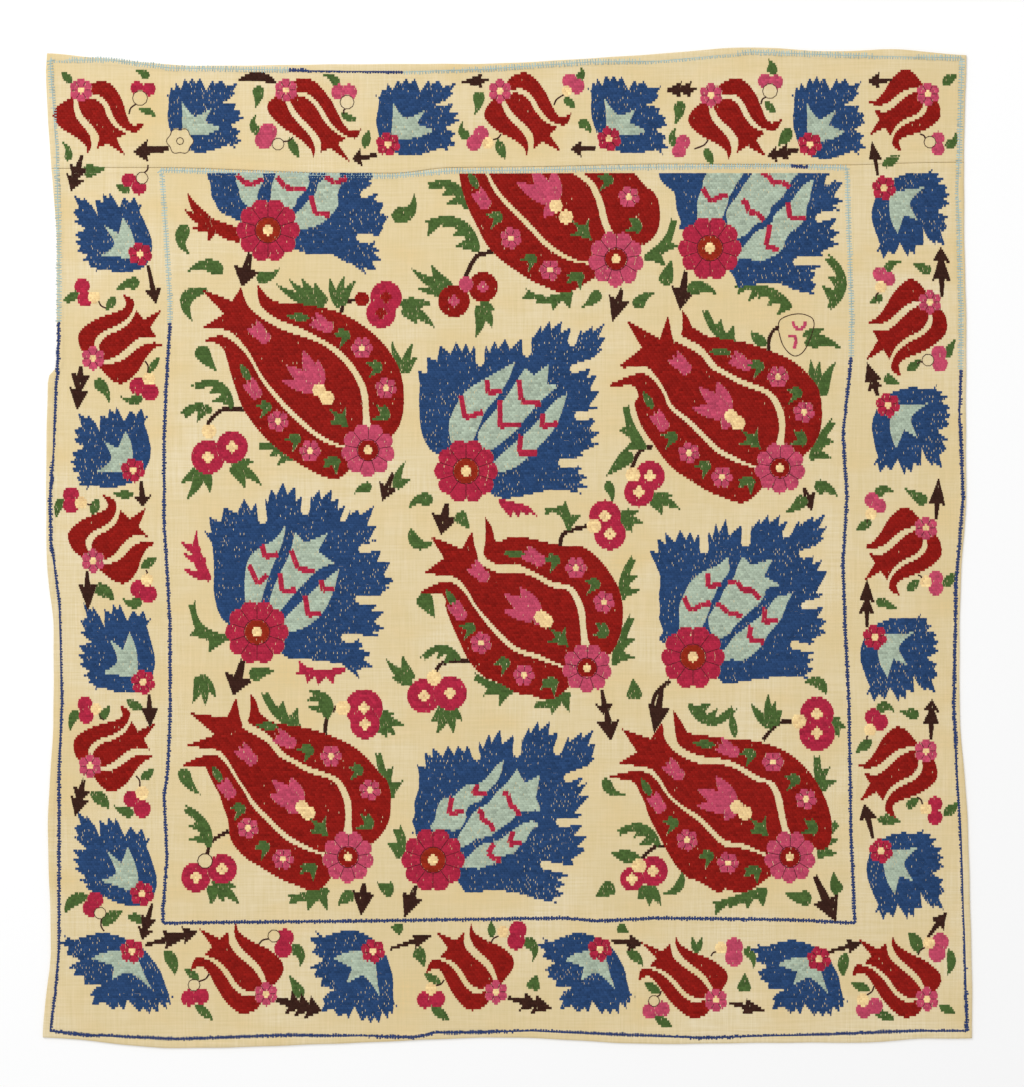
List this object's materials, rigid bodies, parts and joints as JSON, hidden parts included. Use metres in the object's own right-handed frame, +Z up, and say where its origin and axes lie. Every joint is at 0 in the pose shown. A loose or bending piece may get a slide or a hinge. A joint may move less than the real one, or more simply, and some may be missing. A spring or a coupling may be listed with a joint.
{
  "type": "embroidered wrapping cloth",
  "caption": "Nearly square linen wrapping cloth, embroidered all over with tulips, serrated blue blossoms, rosettes and leaves inside a stitched border, laid flat.",
  "frame": {"origin": "middle of the cloth's outline, on the surface it lies on", "axes": "+X to the right of the cloth, +Y towards its top edge, +Z up through its embroidered face"},
  "size_m": [1.0126, 1.0909, 0.0026],
  "materials": {
    "embroidered_linen": "matte cream linen with silk embroidery"
  },
  "bodies": {
    "root": {"main_cloth": "embroidered_linen", "top_band": "embroidered_linen"}
  },
  "joints": []
}
